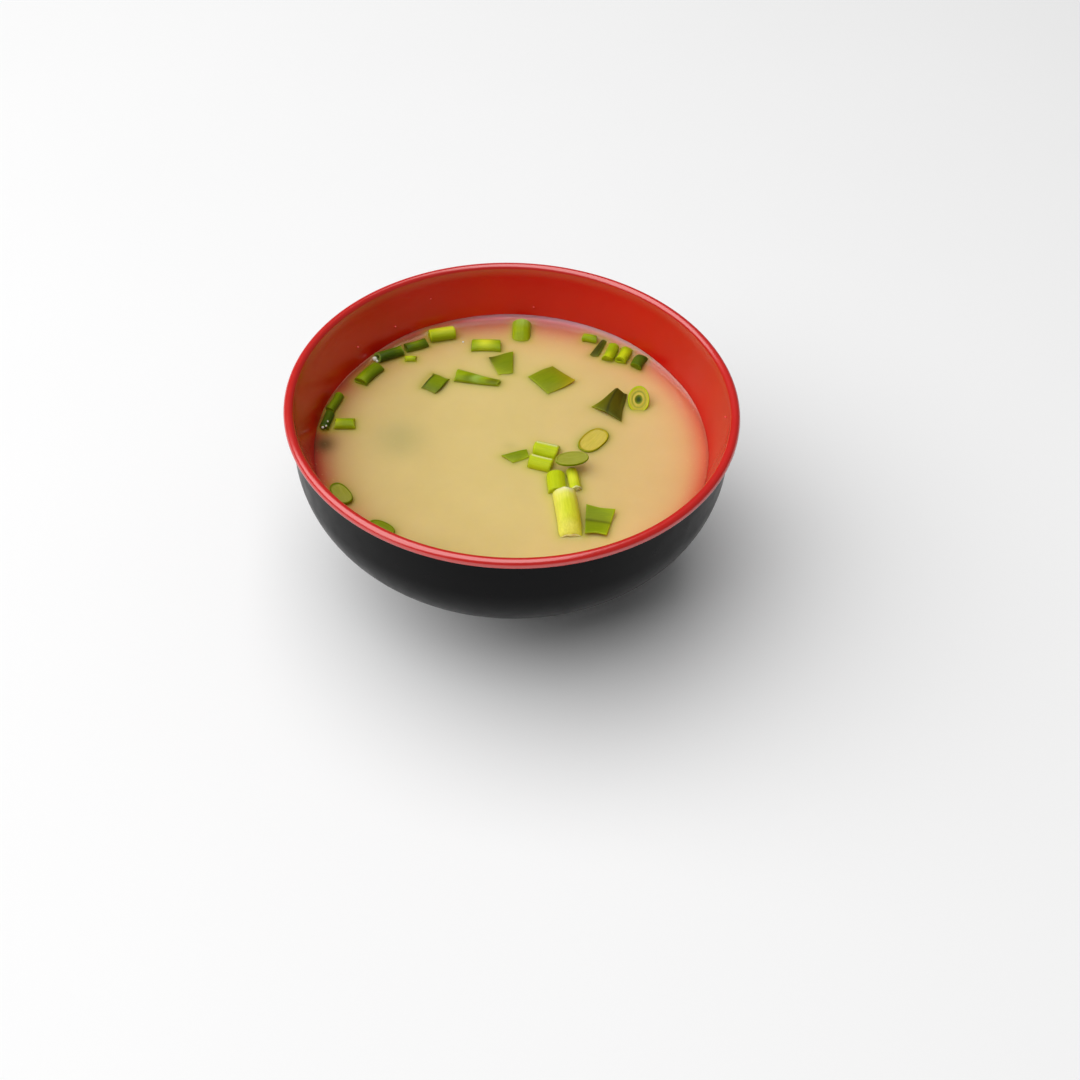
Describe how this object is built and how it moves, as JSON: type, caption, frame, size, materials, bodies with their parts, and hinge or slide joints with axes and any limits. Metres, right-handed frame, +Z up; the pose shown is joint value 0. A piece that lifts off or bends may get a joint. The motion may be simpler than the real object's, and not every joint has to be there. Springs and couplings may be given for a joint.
{
  "type": "bowl of miso soup",
  "caption": "Pale miso broth with floating cut spring onion in a small round bowl, black outside and red inside, on a foot ring.",
  "frame": {"origin": "centre of the underside of the foot ring", "axes": "+Z up out of the bowl's mouth, -Y towards the front, +X to the right as seen from the front"},
  "size_m": [0.114, 0.114, 0.0571],
  "materials": {
    "black_melamine": "satin gloss black melamine",
    "red_melamine": "gloss red melamine",
    "broth": "smooth cloudy liquid surface",
    "onion_white": "moist cut spring onion",
    "onion_pale": "moist cut spring onion",
    "onion_bright": "moist cut spring onion",
    "onion_mid": "moist cut spring onion",
    "onion_dark": "moist cut spring onion",
    "onion_deep": "moist cut spring onion"
  },
  "bodies": {
    "root": {"bowl_shell": "black_melamine", "bowl_lining": "red_melamine", "soup": "broth", "tube_back_left_a": "onion_dark", "tube_back_left_b": "onion_mid", "tube_back_left_c": "onion_bright", "tube_left_a": "onion_mid", "tube_left_b": "onion_mid", "tube_left_c": "onion_dark", "tube_left_d": "onion_bright", "tube_flat": "onion_mid", "tube_back": "onion_pale", "tube_back_right_a": "onion_bright", "tube_back_right_b": "onion_bright", "tube_back_right_c": "onion_bright", "tube_back_right_d": "onion_dark", "tube_tapered": "onion_bright", "stalk_back_left": "onion_pale", "stalk_back": "onion_bright", "stalk_middle_a": "onion_pale", "stalk_middle_b": "onion_pale", "stalk_middle_c": "onion_pale", "stalk_middle_d": "onion_pale", "stalk_long": "onion_white", "slice_oval_a": "onion_pale", "slice_oval_b": "onion_mid", "slice_front_left": "onion_pale", "slice_front": "onion_mid", "slice_round": "onion_pale", "leaf_diamond": "onion_mid", "leaf_trapezoid": "onion_mid", "leaf_sliver": "onion_mid", "leaf_back_right": "onion_deep", "leaf_folded_dark": "onion_deep", "leaf_folded_green": "onion_mid"}
  },
  "joints": []
}
